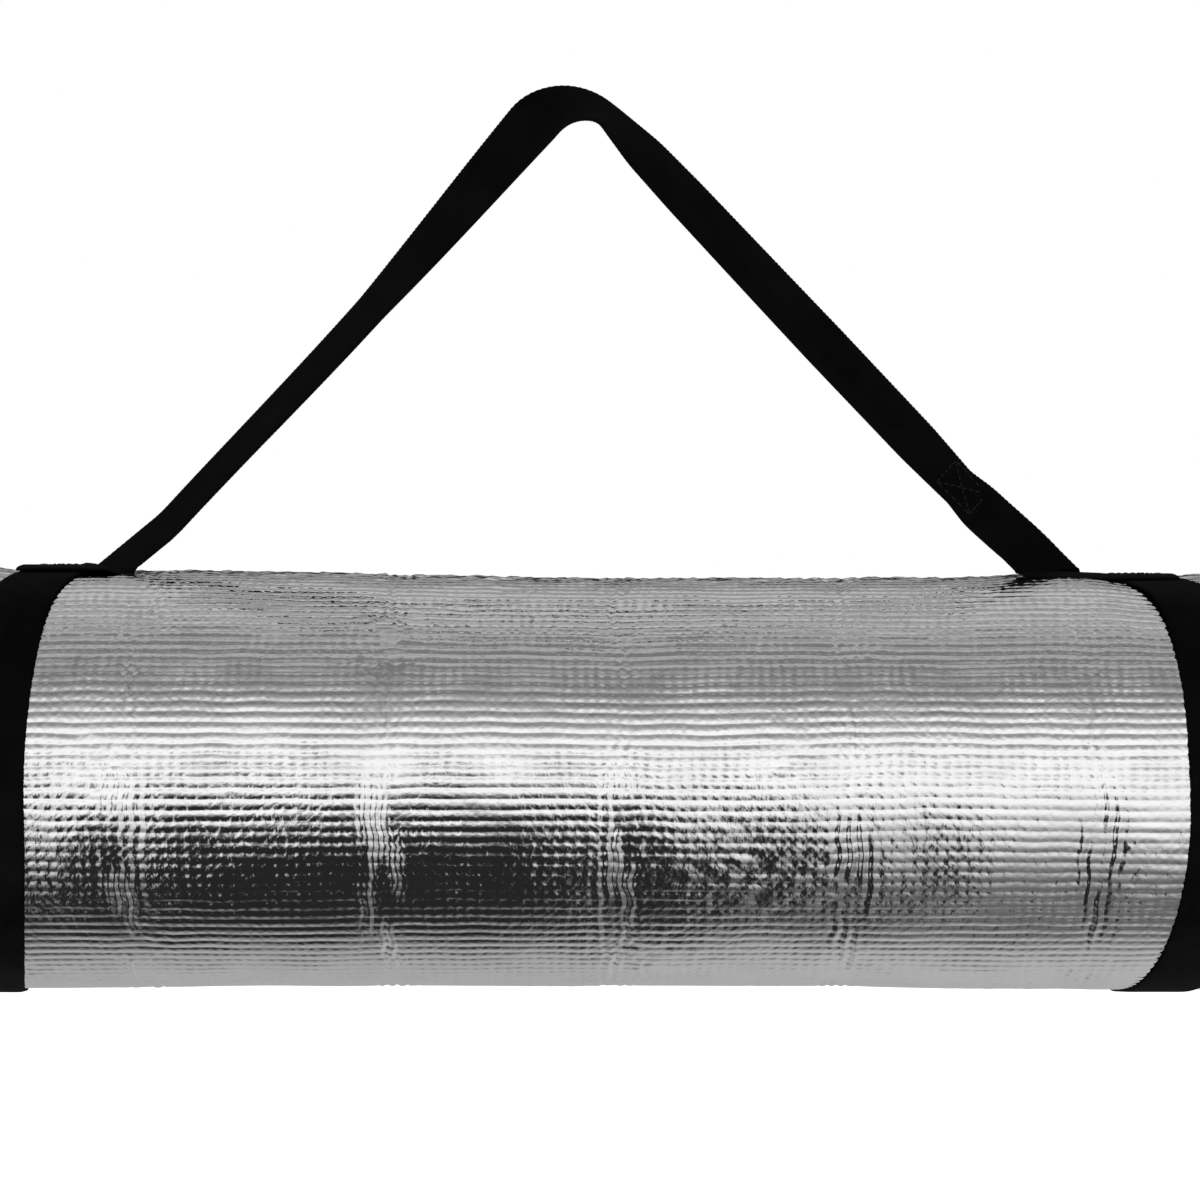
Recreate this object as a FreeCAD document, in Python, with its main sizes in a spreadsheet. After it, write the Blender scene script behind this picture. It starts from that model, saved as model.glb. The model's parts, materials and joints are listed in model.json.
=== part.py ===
import FreeCAD, Part
import math
import os
import Sketcher

# Rolled foam sleeping pad, foil side out, in a webbing sling, hanging from its carrying strap.
# Millimetres. The origin is the point where a peg carries the strap. +Z is up, +X runs along the roll
# and -Y is the front. Sketches on a YZ plane have their own x along +Y and their own y along +Z.

DIMENSIONS = [
    # The pad, flat: 1.8 m long, foil laminated on one face.
    ("pad_width", 550),
    ("foam_thickness", 10),
    ("facing_thickness", 0.2),
    # How it is rolled: half turns, each one pitch / 2 larger in radius than the last.
    ("turn_gap", 0.1),
    ("core_radius", 8),
    ("half_turns", 13),
    # The webbing.
    ("webbing_width", 25),
    ("webbing_thickness", 1.5),
    ("running_gap", 0.3),
    # Where the roll hangs below the hang point.
    ("roll_drop", 255.8),
    ("roll_set_back", 3.4),
    # The loops round the roll: inner edge along the roll, lean of the top and turn of the front.
    ("left_loop_edge", -203.4),
    ("left_loop_lean", 6.8),
    ("left_loop_turn", 5.8),
    ("right_loop_edge", 211.2),
    ("right_loop_lean", -1.3),
    ("right_loop_turn", 4.2),
    # The carrying strap.
    ("apex_rise", 6.2),
    ("apex_radius", 24.4),
    ("leg_angle", 46.7),
    ("flex_height", 18),
    ("flex_half_span", 164.2),
    ("foot_bend_span", 179),
    ("strap_end_height", 27),
    ("lead_end_height", 41),
    ("lead_shift", 3),
    # The stitching.
    ("thread_diameter", 0.8),
    ("stitch_length", 2.6),
    ("stitch_pitch", 3.5),
    ("stitch_margin", 4),
]

document = FreeCAD.newDocument("sleeping_pad")
sheet = document.addObject("Spreadsheet::Sheet", "Sheet")
for row, (alias, value) in enumerate(DIMENSIONS, start=1):
    sheet.set(f"A{row}", alias)
    sheet.set(f"B{row}", str(value))
    sheet.setAlias(f"B{row}", alias)
document.recompute()


def size(alias):
    """One driving dimension, read back from the spreadsheet."""
    return float(getattr(sheet, alias))


# Sizes worked out from the driving dimensions.
PITCH = size("foam_thickness") + size("facing_thickness") + size("turn_gap")
HALF_TURNS = int(size("half_turns"))
SHEET_THICKNESS = size("foam_thickness") + size("facing_thickness")
FRONT_RADIUS = size("core_radius") + (HALF_TURNS - 1) * PITCH / 2 + SHEET_THICKNESS
BACK_RADIUS = FRONT_RADIUS - PITCH / 2
ROLL_TOP = FRONT_RADIUS - size("roll_drop")
FLEX_LINE = ROLL_TOP + size("flex_height")
LOOP_TOP = ROLL_TOP + size("running_gap") + size("webbing_thickness")
FOOT_LEVEL = LOOP_TOP + size("webbing_thickness") / 2

RADIUS_EXPRESSION = (
    "Sheet.core_radius + {turn} * (Sheet.foam_thickness + Sheet.facing_thickness"
    " + Sheet.turn_gap) / 2 + {skin}"
)
WHOLE_SHEET = "Sheet.foam_thickness + Sheet.facing_thickness"

ALONG = FreeCAD.Vector(1, 0, 0)
BACKWARD = FreeCAD.Vector(0, 1, 0)
UP = FreeCAD.Vector(0, 0, 1)


def plane_of(body, role):
    """The body's own origin plane with this role."""
    return next(item for item in body.Origin.OriginFeatures if item.Role == role)


def new_body(label):
    body = document.addObject("PartDesign::Body", label)
    body.Label = label
    return body


def sketch_on(body, name, role):
    sketch = body.newObject("Sketcher::SketchObject", name)
    sketch.AttachmentSupport = [(plane_of(body, role), "")]
    sketch.MapMode = "FlatFace"
    return sketch


def join_ends(sketch, curves, closed=True, kind="Coincident"):
    """Join a chain of curves, each given as (index, number of its first end)."""
    followers = curves[1:] + curves[:1] if closed else curves[1:]
    for (curve, start), (following, next_start) in zip(curves, followers):
        far_end = 3 - start
        sketch.addConstraint(Sketcher.Constraint(kind, curve, far_end, following, next_start))


def bind_radius(sketch, curve, expression):
    """Hold an arc's radius to an expression of the spreadsheet's cells."""
    radius = sketch.Geometry[curve].Radius
    constraint = sketch.addConstraint(Sketcher.Constraint("Radius", curve, radius))
    sketch.setExpression(f"Constraints[{constraint}]", expression)


def pin_centre(sketch, curve):
    """Hold an arc's centre where it is, measured from the sketch's origin."""
    centre = sketch.Geometry[curve].Center
    sketch.addConstraint(Sketcher.Constraint("DistanceX", -1, 1, curve, 3, centre.x))
    sketch.addConstraint(Sketcher.Constraint("DistanceY", -1, 1, curve, 3, centre.y))


# --- The rolled pad -------------------------------------------------------------------------------
# The winding is a chain of half circles about two centres half a pitch apart. Front halves turn about
# the roll's axis, back halves about a centre half a pitch higher. The last one is a front half, so
# the sheet's outer end lies underneath, facing back.


def half_turn(turn, skin):
    """One half circle of the winding, on the line `skin` outward of the sheet's inner face."""
    radius = size("core_radius") + turn * PITCH / 2 + skin
    is_front = turn % 2 == 0
    centre = FreeCAD.Vector(0, 0 if is_front else PITCH / 2, 0)
    first = 90 if is_front else -90
    circle = Part.Circle(centre, FreeCAD.Vector(0, 0, 1), radius)
    return Part.ArcOfCircle(circle, math.radians(first), math.radians(first + 180))


def rolled_layer(label, inner_skin, outer_skin, inner_text, outer_text):
    """A layer of the sheet between two distances from its inner face, wound up, as wide as the pad."""
    body = new_body(label)
    sketch = sketch_on(body, f"{label}_winding", "YZ_Plane")
    sides = []
    for skin, text in ((inner_skin, inner_text), (outer_skin, outer_text)):
        side = []
        for turn in range(HALF_TURNS):
            arc = half_turn(turn, skin)
            curve = sketch.addGeometry(arc, False)
            bind_radius(sketch, curve, RADIUS_EXPRESSION.format(turn=turn, skin=text))
            side.append((curve, arc))
        join_ends(sketch, [(curve, 1) for curve, arc in side], closed=False, kind="Tangent")
        pin_centre(sketch, side[0][0])
        sides.append(side)
    (inner, outer) = sides
    tail = sketch.addGeometry(Part.LineSegment(inner[-1][1].EndPoint, outer[-1][1].EndPoint), False)
    core = sketch.addGeometry(Part.LineSegment(outer[0][1].StartPoint, inner[0][1].StartPoint), False)
    join_ends(sketch, [(inner[-1][0], 1), (tail, 1), (outer[-1][0], 2)], closed=False)
    join_ends(sketch, [(outer[0][0], 2), (core, 1), (inner[0][0], 1)], closed=False)
    pad = body.newObject("PartDesign::Pad", f"{label}_pad")
    pad.Profile = sketch
    pad.setExpression("Length", "Sheet.pad_width")
    pad.Midplane = True
    body.Placement = FreeCAD.Placement(
        FreeCAD.Vector(0, size("roll_set_back"), -size("roll_drop")), FreeCAD.Rotation()
    )
    sketch.Visibility = False
    return body


foam_sheet = rolled_layer("foam_sheet", 0, size("foam_thickness"), "0", "Sheet.foam_thickness")
foil_facing = rolled_layer(
    "foil_facing", size("foam_thickness"), SHEET_THICKNESS, "Sheet.foam_thickness", WHOLE_SHEET
)

# --- The loops ------------------------------------------------------------------------------------
# Each loop hugs the roll: round the front, over the corner of the sheet's end, straight across the
# step to the back half and round the back to the top. A tilted slab cuts it to the webbing's width.


def loop_outline(sketch, clearance, text):
    """The closed outline that stands `clearance` off the roll, as a chain of sketch curves."""
    step_angle = math.degrees(math.acos(BACK_RADIUS / (FRONT_RADIUS + PITCH / 2)))
    bridge_normal = FreeCAD.Vector(
        math.sin(math.radians(step_angle)), -math.cos(math.radians(step_angle)), 0
    )
    back_centre = FreeCAD.Vector(0, PITCH / 2, 0)
    tail_corner = FreeCAD.Vector(0, -FRONT_RADIUS, 0)
    last = HALF_TURNS - 1
    arcs = [
        (FreeCAD.Vector(0, 0, 0), FRONT_RADIUS + clearance, 90, 270,
         RADIUS_EXPRESSION.format(turn=last, skin=f"{WHOLE_SHEET} + {text}")),
        (tail_corner, clearance, 270, 270 + step_angle, text),
        (back_centre, BACK_RADIUS + clearance, step_angle - 90, 90,
         RADIUS_EXPRESSION.format(turn=last - 1, skin=f"{WHOLE_SHEET} + {text}")),
    ]
    curves = []
    for centre, radius, first, second, expression in arcs:
        circle = Part.Circle(centre, FreeCAD.Vector(0, 0, 1), radius)
        arc = Part.ArcOfCircle(circle, math.radians(first), math.radians(second))
        curve = sketch.addGeometry(arc, False)
        bind_radius(sketch, curve, expression)
        curves.append(curve)
    front, corner, back = curves
    pin_centre(sketch, front)
    bridge = sketch.addGeometry(
        Part.LineSegment(
            tail_corner + bridge_normal * clearance,
            back_centre + bridge_normal * (BACK_RADIUS + clearance),
        ),
        False,
    )
    join_ends(sketch, [(front, 1), (corner, 1), (bridge, 1), (back, 1)], kind="Tangent")


def loop_round_roll(side, outward):
    """One closed webbing loop; outward is -1 on the left and 1 on the right."""
    label = f"{side}_loop"
    sketch = document.addObject("Sketcher::SketchObject", f"{label}_outline")
    sketch.Placement = FreeCAD.Placement(
        FreeCAD.Vector(0, size("roll_set_back"), -size("roll_drop")),
        FreeCAD.Rotation(BACKWARD, UP, ALONG, "XYZ"),
    )
    loop_outline(sketch, size("running_gap"), "Sheet.running_gap")
    loop_outline(
        sketch,
        size("running_gap") + size("webbing_thickness"),
        "Sheet.running_gap + Sheet.webbing_thickness",
    )
    sleeve = document.addObject("Part::Extrusion", f"{label}_sleeve")
    sleeve.Base = sketch
    sleeve.DirMode = "Custom"
    sleeve.Dir = ALONG
    sleeve.Solid = True
    sleeve.Symmetric = True
    sleeve.setExpression("LengthFwd", "Sheet.pad_width")
    slab = document.addObject("Part::Box", f"{label}_slab")
    slab.setExpression("Length", "Sheet.webbing_width")
    slab.setExpression("Width", "Sheet.pad_width")
    slab.setExpression("Height", "Sheet.pad_width")
    inset = 0 if outward > 0 else -size("webbing_width")
    half = size("pad_width") / 2
    tilt = FreeCAD.Rotation(UP, size(f"{label}_turn")) * FreeCAD.Rotation(BACKWARD, size(f"{label}_lean"))
    edge = FreeCAD.Vector(size(f"{label}_edge"), size("roll_set_back"), -size("roll_drop"))
    slab.Placement = FreeCAD.Placement(edge, tilt) * FreeCAD.Placement(
        FreeCAD.Vector(inset, -half, -half), FreeCAD.Rotation()
    )
    loop = document.addObject("Part::Common", label)
    loop.Label = label
    loop.Base = sleeve
    loop.Tool = slab
    return loop


# --- Strips of webbing ----------------------------------------------------------------------------
# A strip is lofted through cross-sections, from left to right. A section's roll is 0 where the webbing
# faces front and 90 where it lies flat; its upper edge leans back.


def section_placement(x, z, slope, roll, across_shift=0, through_shift=0):
    """Axes of a section: x across the webbing, y through its thickness, z along the strip."""
    slope_angle = math.radians(slope)
    roll_angle = math.radians(roll)
    tangent = FreeCAD.Vector(math.cos(slope_angle), 0, math.sin(slope_angle))
    outward = FreeCAD.Vector(-math.sin(slope_angle), 0, math.cos(slope_angle))
    across = outward * math.cos(roll_angle) + BACKWARD * math.sin(roll_angle)
    through = tangent.cross(across)
    middle = FreeCAD.Vector(x, 0, z) + across * across_shift + through * through_shift
    return FreeCAD.Placement(middle, FreeCAD.Rotation(across, through, tangent, "XYZ"))


def section_sketch(body, name, placement):
    """The rectangle of the webbing's cross-section, centred on its placement."""
    sketch = sketch_on(body, name, "XY_Plane")
    sketch.AttachmentOffset = placement
    half_width = size("webbing_width") / 2
    half_thickness = size("webbing_thickness") / 2
    corners = [
        FreeCAD.Vector(-half_width, -half_thickness, 0),
        FreeCAD.Vector(half_width, -half_thickness, 0),
        FreeCAD.Vector(half_width, half_thickness, 0),
        FreeCAD.Vector(-half_width, half_thickness, 0),
    ]
    sides = []
    for start, end in zip(corners, corners[1:] + corners[:1]):
        sides.append(sketch.addGeometry(Part.LineSegment(start, end), False))
    join_ends(sketch, [(side, 1) for side in sides])
    for side, kind in zip(sides, ("Horizontal", "Vertical", "Horizontal", "Vertical")):
        sketch.addConstraint(Sketcher.Constraint(kind, side))
    bottom, upright, top, _ = sides
    sketch.addConstraint(Sketcher.Constraint("Symmetric", bottom, 1, top, 1, -1, 1))
    spans = (
        ("DistanceX", bottom, 2 * half_width, "Sheet.webbing_width"),
        ("DistanceY", upright, 2 * half_thickness, "Sheet.webbing_thickness"),
    )
    for kind, side, length, expression in spans:
        constraint = sketch.addConstraint(Sketcher.Constraint(kind, side, 1, side, 2, length))
        sketch.setExpression(f"Constraints[{constraint}]", expression)
    sketch.Visibility = False
    return sketch


def webbing_strip(label, placements):
    """Loft one strip of webbing through its sections."""
    body = new_body(label)
    sections = []
    for number, placement in enumerate(placements):
        sections.append(section_sketch(body, f"{label}_section_{number}", placement))
    loft = body.newObject("PartDesign::AdditiveLoft", f"{label}_loft")
    loft.Profile = sections[0]
    loft.Sections = sections[1:]
    loft.Ruled = True
    return body


# --- The carrying strap ---------------------------------------------------------------------------
# Two straight legs joined by an arc over the hang point. On the right the strap is lapped onto a short
# lead. Both legs flex about one line along X just above the roll. They are cut there square to that
# line, so that the strap and its sewn ends turn past each other without touching. Each leg keeps one
# roll angle, and turns to its foot's and to the apex's within TWIST_HEIGHT of its two ends.
LEFT, RIGHT = -1, 1
LEG_ANGLE = size("leg_angle")
APEX_RADIUS = size("apex_radius")
APEX_CENTRE_Z = size("apex_rise") - APEX_RADIUS
ARC_END_X = APEX_RADIUS * math.sin(math.radians(LEG_ANGLE))
ARC_END_Z = APEX_CENTRE_Z + APEX_RADIUS * math.cos(math.radians(LEG_ANGLE))
FLAT = 90
LEG_ROLL = {LEFT: 66, RIGHT: 48}
FOOT_ROLL = {LEFT: 80, RIGHT: 55}
APEX_ROLL = 40
ARC_STEPS = 6
TWIST_HEIGHT = 35


def leg_point(side, z):
    """The middle line's x on a leg at this height."""
    flex_x = side * size("flex_half_span")
    share = (z - FLEX_LINE) / (ARC_END_Z - FLEX_LINE)
    return flex_x + share * (side * ARC_END_X - flex_x)


def leg_section(side, z, roll, across_shift=0, through_shift=0):
    rise = ARC_END_Z - FLEX_LINE
    run = size("flex_half_span") - ARC_END_X
    slope = -side * math.degrees(math.atan2(rise, run))
    return section_placement(leg_point(side, z), z, slope, roll, across_shift, through_shift)


def flex_section(side, gap, roll):
    """The square cut at the flex line, this far from it towards the middle of the roll."""
    return section_placement(side * (size("flex_half_span") - gap), FLEX_LINE, 0, roll)


def apex_sections():
    sections = []
    for step in range(ARC_STEPS + 1):
        slope = LEG_ANGLE - step * 2 * LEG_ANGLE / ARC_STEPS
        x = -APEX_RADIUS * math.sin(math.radians(slope))
        z = APEX_CENTRE_Z + APEX_RADIUS * math.cos(math.radians(slope))
        sections.append(section_placement(x, z, slope, APEX_ROLL))
    return sections


FLEX_GAP = size("running_gap") / 2
STRAP_END_Z = ROLL_TOP + size("strap_end_height")
LEAD_END_Z = ROLL_TOP + size("lead_end_height")

carry_strap = webbing_strip(
    "carry_strap",
    [
        flex_section(LEFT, FLEX_GAP, FOOT_ROLL[LEFT]),
        leg_section(LEFT, FLEX_LINE + TWIST_HEIGHT, LEG_ROLL[LEFT]),
        leg_section(LEFT, ARC_END_Z - TWIST_HEIGHT, LEG_ROLL[LEFT]),
    ]
    + apex_sections()
    + [
        leg_section(RIGHT, ARC_END_Z - TWIST_HEIGHT, LEG_ROLL[RIGHT]),
        leg_section(RIGHT, STRAP_END_Z, LEG_ROLL[RIGHT]),
    ],
)

LEAD_UNDER = -size("webbing_thickness")
right_strap_lead = webbing_strip(
    "right_strap_lead",
    [
        leg_section(RIGHT, LEAD_END_Z, LEG_ROLL[RIGHT], size("lead_shift"), LEAD_UNDER),
        leg_section(RIGHT, STRAP_END_Z, LEG_ROLL[RIGHT], size("lead_shift"), LEAD_UNDER),
        flex_section(RIGHT, FLEX_GAP, FOOT_ROLL[RIGHT]),
    ],
)

# --- The sewn strap ends --------------------------------------------------------------------------
# A foot turns from the flex line's slope to lying flat through two sections. Their heights and the
# length of the bend's end are shares of the foot's rise to the flex line.
FOOT_RISE = FLEX_LINE - FOOT_LEVEL
UPPER_BEND_SHARE = 0.5
LOWER_BEND_SHARE = 0.1
BEND_END_SHARE = 0.33


def loop_top_edge(side):
    """The x of a loop's inner edge where it crosses the top of the roll."""
    label = "left_loop" if side == LEFT else "right_loop"
    lean = math.tan(math.radians(size(f"{label}_lean")))
    return size(f"{label}_edge") + FRONT_RADIUS * lean


def foot_sections(side):
    """A strap end from the flex line down to where it lies flat on the loop."""
    bend = side * size("foot_bend_span")
    middle = side * (size("foot_bend_span") + size("flex_half_span")) / 2
    outer = loop_top_edge(side) + side * size("webbing_width")
    upper_level = FOOT_LEVEL + UPPER_BEND_SHARE * FOOT_RISE
    lower_level = FOOT_LEVEL + LOWER_BEND_SHARE * FOOT_RISE
    bend_end = bend + side * BEND_END_SHARE * FOOT_RISE
    roll = FOOT_ROLL[side]
    sections = [
        flex_section(side, -FLEX_GAP, roll),
        section_placement(middle, upper_level, -side * LEG_ANGLE, (roll + FLAT) / 2),
        section_placement(bend, lower_level, -side * LEG_ANGLE / 2, FLAT),
        section_placement(bend_end, FOOT_LEVEL, 0, FLAT),
        section_placement(outer, FOOT_LEVEL, 0, FLAT),
    ]
    return sections if side == RIGHT else sections[::-1]


left_strap_foot = webbing_strip("left_strap_foot", foot_sections(LEFT))
right_strap_foot = webbing_strip("right_strap_foot", foot_sections(RIGHT))

left_loop = loop_round_roll("left", LEFT)
right_loop = loop_round_roll("right", RIGHT)

# --- The stitching --------------------------------------------------------------------------------
# Each seam is a square of stitches with a cross in it. A stitch is a short bar of thread that lies on
# the webbing's face. The cross's four arms stay clear of the corners and of the middle: they run
# between two shares of the way from the middle to a corner.
ARM_OUTER_SHARE = 0.8
ARM_INNER_SHARE = 0.12


def stitch_row(start, end):
    """Middles and headings of the stitches of one straight row, in the seam's own plane."""
    row = end - start
    count = int(row.Length / size("stitch_pitch"))
    heading = math.degrees(math.atan2(row.y, row.x))
    return [(start + row * ((number + 0.5) / count), heading) for number in range(count)]


def seam_rows(half_along, half_across):
    """The rows of a crossed box seam, from corner to corner."""
    corners = [
        FreeCAD.Vector(-half_along, -half_across, 0),
        FreeCAD.Vector(half_along, -half_across, 0),
        FreeCAD.Vector(half_along, half_across, 0),
        FreeCAD.Vector(-half_along, half_across, 0),
    ]
    rows = list(zip(corners, corners[1:] + corners[:1]))
    for corner in corners:
        rows.append((corner * ARM_OUTER_SHARE, corner * ARM_INNER_SHARE))
    return rows


def crossed_seam(label, seam_placement, half_along, half_across):
    """A box seam, its plane on the webbing's face, with its first axis along the strap."""
    stitches = []
    for start, end in seam_rows(half_along, half_across):
        for middle, heading in stitch_row(start, end):
            stitch = document.addObject("Part::Box", f"{label}_stitch_{len(stitches)}")
            stitch.setExpression("Length", "Sheet.stitch_length")
            stitch.setExpression("Width", "Sheet.thread_diameter")
            stitch.setExpression("Height", "Sheet.thread_diameter")
            corner = FreeCAD.Vector(-size("stitch_length") / 2, -size("thread_diameter") / 2, 0)
            turn = FreeCAD.Rotation(FreeCAD.Vector(0, 0, 1), heading)
            stitch.Placement = (
                seam_placement
                * FreeCAD.Placement(middle, turn)
                * FreeCAD.Placement(corner, FreeCAD.Rotation())
            )
            stitches.append(stitch)
    seam = document.addObject("Part::Compound", label)
    seam.Label = label
    seam.Links = stitches
    return seam


def foot_seam(label, side):
    middle = loop_top_edge(side) + side * size("webbing_width") / 2
    top_face = FOOT_LEVEL + size("webbing_thickness") / 2
    half = size("webbing_width") / 2 - size("stitch_margin")
    place = FreeCAD.Placement(FreeCAD.Vector(middle, 0, top_face), FreeCAD.Rotation())
    return crossed_seam(label, place, half, half)


def lap_seam(label):
    """The seam that joins the strap to its lead, on the strap's outer face."""
    section = leg_section(
        RIGHT, (STRAP_END_Z + LEAD_END_Z) / 2, LEG_ROLL[RIGHT], 0, size("webbing_thickness") / 2
    )
    axes = section.Rotation
    along = axes.multVec(UP)
    across = axes.multVec(ALONG)
    face = axes.multVec(BACKWARD)
    place = FreeCAD.Placement(section.Base, FreeCAD.Rotation(along, across * -1, face, "ZXY"))
    lap = (LEAD_END_Z - STRAP_END_Z) / math.sin(math.radians(LEG_ANGLE))
    half_across = size("webbing_width") / 2 - size("stitch_margin")
    return crossed_seam(label, place, lap / 2 - size("thread_diameter"), half_across)


left_foot_stitching = foot_seam("left_foot_stitching", LEFT)
right_foot_stitching = foot_seam("right_foot_stitching", RIGHT)
lap_stitching = lap_seam("lap_stitching")

# --- Check and write ------------------------------------------------------------------------------
document.recompute()
for item in document.Objects:
    if "Invalid" in item.State or "Error" in item.State:
        raise RuntimeError(f"{item.Label} failed: {item.State}")

NODES = [
    foam_sheet,
    foil_facing,
    left_loop,
    right_loop,
    left_strap_foot,
    right_strap_foot,
    left_foot_stitching,
    right_foot_stitching,
    carry_strap,
    right_strap_lead,
    lap_stitching,
]
os.makedirs("parts", exist_ok=True)
for node in NODES:
    shape = node.Shape
    if shape.isNull() or not shape.isValid():
        raise RuntimeError(f"{node.Label} has no valid shape")
    shape.exportStep(f"parts/{node.Label}.step")
    box = shape.BoundBox
    print(
        f"{node.Label}: {len(shape.Solids)} solids, {shape.Volume:.0f} mm3,"
        f" x {box.XMin:.1f} to {box.XMax:.1f}, y {box.YMin:.1f} to {box.YMax:.1f},"
        f" z {box.ZMin:.1f} to {box.ZMax:.1f}"
    )

sheet_length = math.pi * sum(
    size("core_radius") + turn * PITCH / 2 + SHEET_THICKNESS / 2 for turn in range(HALF_TURNS)
)
centre_of_mass = foam_sheet.Shape.CenterOfMass
print(f"sheet length {sheet_length:.0f} mm, roll's centre of mass {centre_of_mass}")
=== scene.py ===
import json
import math

import bpy
import numpy as np
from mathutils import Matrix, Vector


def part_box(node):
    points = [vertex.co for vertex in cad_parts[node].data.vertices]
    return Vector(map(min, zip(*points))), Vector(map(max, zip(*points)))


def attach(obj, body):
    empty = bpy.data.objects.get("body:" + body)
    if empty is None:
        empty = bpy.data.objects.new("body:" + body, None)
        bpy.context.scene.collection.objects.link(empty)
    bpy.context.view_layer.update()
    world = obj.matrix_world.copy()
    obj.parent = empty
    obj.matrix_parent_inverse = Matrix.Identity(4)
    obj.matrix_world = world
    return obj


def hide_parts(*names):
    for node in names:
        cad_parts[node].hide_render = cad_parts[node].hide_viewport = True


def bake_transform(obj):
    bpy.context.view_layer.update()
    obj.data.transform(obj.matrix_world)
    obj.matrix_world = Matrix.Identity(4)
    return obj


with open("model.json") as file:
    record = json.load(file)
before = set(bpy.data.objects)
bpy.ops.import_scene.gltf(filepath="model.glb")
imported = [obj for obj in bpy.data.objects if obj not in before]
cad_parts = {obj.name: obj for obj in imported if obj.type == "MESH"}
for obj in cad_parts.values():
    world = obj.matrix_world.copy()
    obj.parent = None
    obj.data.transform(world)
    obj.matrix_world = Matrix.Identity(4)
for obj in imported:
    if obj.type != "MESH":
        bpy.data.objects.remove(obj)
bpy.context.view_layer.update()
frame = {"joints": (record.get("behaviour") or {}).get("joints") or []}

MM = 0.001

# --- The camera -----------------------------------------------------------------------------------
# It looks level at the front of the roll, a little above the roll's axis.
CAMERA_DISTANCE = 0.88
CAMERA_RIGHT = 8.75 * MM
CAMERA_DROP = 185 * MM
CAMERA_LENS = 67.9

camera_data = bpy.data.cameras.new("camera")
camera_data.lens = CAMERA_LENS
camera_data.sensor_width = 36
camera = bpy.data.objects.new("camera", camera_data)
bpy.context.scene.collection.objects.link(camera)
camera.location = (CAMERA_RIGHT, -CAMERA_DISTANCE, -CAMERA_DROP)
camera.rotation_euler = (math.radians(90), 0, 0)
bpy.context.scene.camera = camera

# --- Sizes read from the frame --------------------------------------------------------------------
roll_low, roll_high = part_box("foil_facing")
foot_low, foot_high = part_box("left_strap_foot")
loop_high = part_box("left_loop")[1]
swing = next(joint for joint in frame["joints"] if joint["name"] == "strap_swing")

FRONT_RADIUS = (roll_high[2] - roll_low[2]) / 2
AXIS_Z = (roll_high[2] + roll_low[2]) / 2
AXIS_Y = roll_low[1] + FRONT_RADIUS
BACK_RADIUS = roll_high[1] - AXIS_Y
PITCH = 2 * (FRONT_RADIUS - BACK_RADIUS)
BACK_CENTRE_Z = AXIS_Z + PITCH / 2
HALF_LENGTH = roll_high[0]
ROLL_TOP = roll_high[2]
WEBBING_WIDTH = foot_high[1] - foot_low[1]
WEBBING_THICKNESS = 1.5 * MM
# The CAD loops keep a running gap to the roll; here they are pulled tight by this much.
LOOP_TIGHTENING = 0.275 * MM
LOOP_MIDDLE_LIFT = loop_high[2] - ROLL_TOP - WEBBING_THICKNESS / 2 - LOOP_TIGHTENING
LEG_BOTTOM = swing["pos_m"][2]
FLEX_X = -foot_high[0]
FOAM_THICKNESS = 10 * MM
FILM_OFFSET = 0.1 * MM
HALF_TURNS = 13
CORE_RADIUS = FRONT_RADIUS - FOAM_THICKNESS - 2 * FILM_OFFSET - (HALF_TURNS - 1) * PITCH / 2


def waves(along, around, seed, length_along, length_around, count=7):
    """Smooth noise of about unit size: a sum of plane waves no shorter than the two lengths."""
    random = np.random.default_rng(seed)
    total = 0
    for _ in range(count):
        pace_along, pace_around = random.uniform(-1, 1, 2)
        phase = random.uniform(0, 2 * math.pi)
        turns = pace_along * along / length_along + pace_around * around / length_around
        total = total + np.sin(2 * math.pi * turns + phase)
    return total / math.sqrt(count / 2)


def smooth_step(value, start, end):
    share = np.clip((value - start) / (end - start), 0, 1)
    return share * share * (3 - 2 * share)


def hump(value, middle, spread):
    return np.exp(-(((value - middle) / spread) ** 2))


# --- Meshes ---------------------------------------------------------------------------------------
def grid_faces(rows, columns, wrap_rows, wrap_columns):
    """Quads of a grid of points, as an array of four point numbers each."""
    row_count = rows if wrap_rows else rows - 1
    column_count = columns if wrap_columns else columns - 1
    row, column = np.meshgrid(np.arange(row_count), np.arange(column_count), indexing="ij")
    next_row = (row + 1) % rows
    next_column = (column + 1) % columns
    corners = [
        row * columns + column,
        row * columns + next_column,
        next_row * columns + next_column,
        next_row * columns + column,
    ]
    return np.stack([corner.ravel() for corner in corners], axis=1)


def grid_piece(name, points, lengthwise, crosswise, wrap_rows=False, wrap_columns=False, caps=False):
    """A smooth mesh through a grid of points; its UV map holds the two places that patterns follow."""
    rows, columns, _ = points.shape
    faces = grid_faces(rows, columns, wrap_rows, wrap_columns)
    face_list = faces.tolist()
    if caps:
        face_list.append(list(range(columns))[::-1])
        face_list.append([(rows - 1) * columns + column for column in range(columns)])
    mesh = bpy.data.meshes.new(name)
    mesh.from_pydata(points.reshape(-1, 3).tolist(), [], face_list)
    layer = mesh.uv_layers.new(name="pattern")
    corner_points = np.zeros(len(mesh.loops), dtype=np.int64)
    mesh.loops.foreach_get("vertex_index", corner_points)
    uv = np.stack([lengthwise.ravel()[corner_points], crosswise.ravel()[corner_points]], axis=1)
    layer.data.foreach_set("uv", uv.ravel())
    mesh.polygons.foreach_set("use_smooth", [True] * len(mesh.polygons))
    mesh.validate()
    piece = bpy.data.objects.new(name, mesh)
    bpy.context.scene.collection.objects.link(piece)
    return piece


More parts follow.
